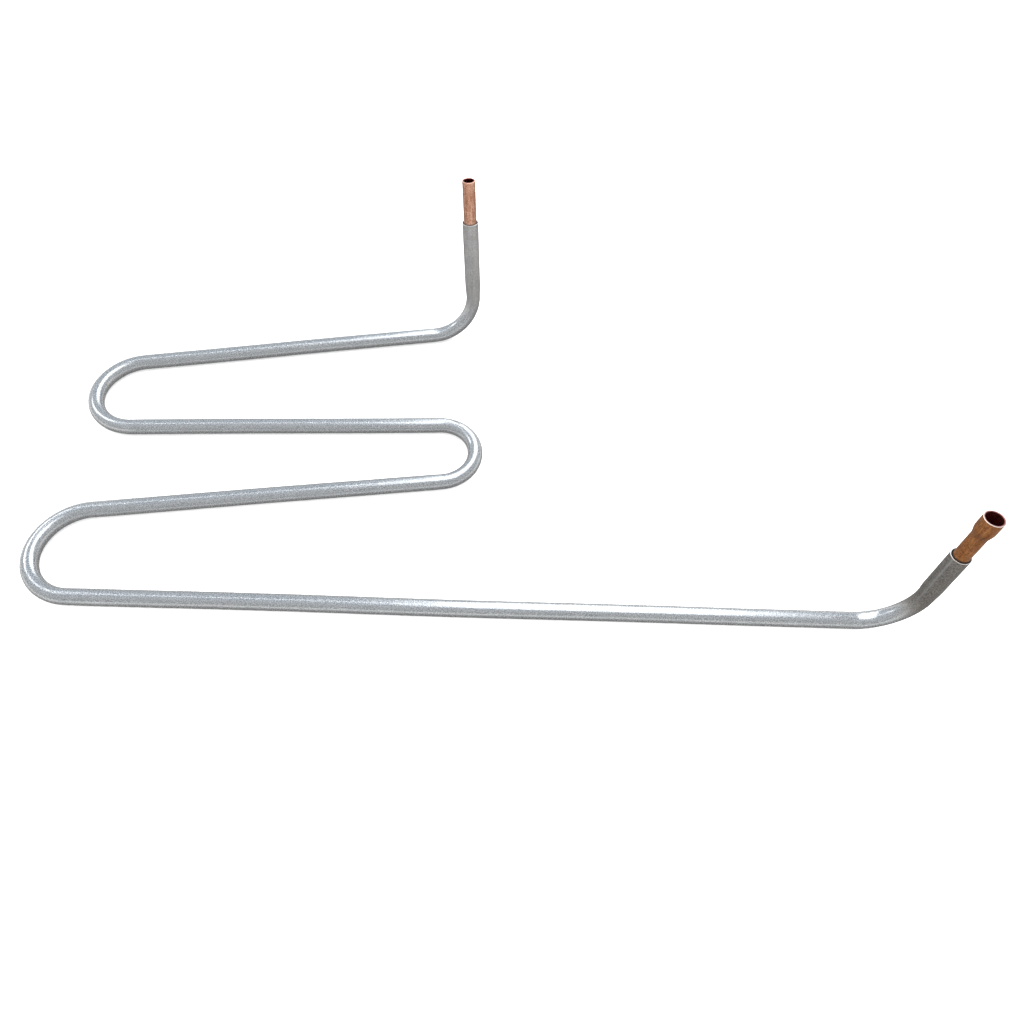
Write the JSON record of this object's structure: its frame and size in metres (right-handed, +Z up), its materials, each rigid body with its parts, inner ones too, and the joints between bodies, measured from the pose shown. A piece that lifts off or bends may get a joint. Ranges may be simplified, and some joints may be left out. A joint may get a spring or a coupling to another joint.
{
  "type": "immersion chiller tube",
  "caption": "Flat serpentine heat-exchange tube of bare metal with upturned ends, a plain copper spigot stub and a swaged copper socket stub.",
  "frame": {"origin": "centre of the overall box on the plane that the runs lie on", "axes": "+X along the long run towards its upturned socket leg, +Y from the long run towards the spigot leg, +Z up along the legs"},
  "size_m": [0.493, 0.2396, 0.1084],
  "materials": {
    "tube_metal": "satin",
    "spigot_copper": "satin",
    "socket_copper": "satin",
    "joint_filler": "matte"
  },
  "bodies": {
    "root": {"serpentine_tube": "tube_metal", "spigot_stub": "spigot_copper", "socket_stub": "socket_copper", "spigot_joint_ring": "joint_filler", "socket_joint_ring": "joint_filler"}
  },
  "joints": []
}
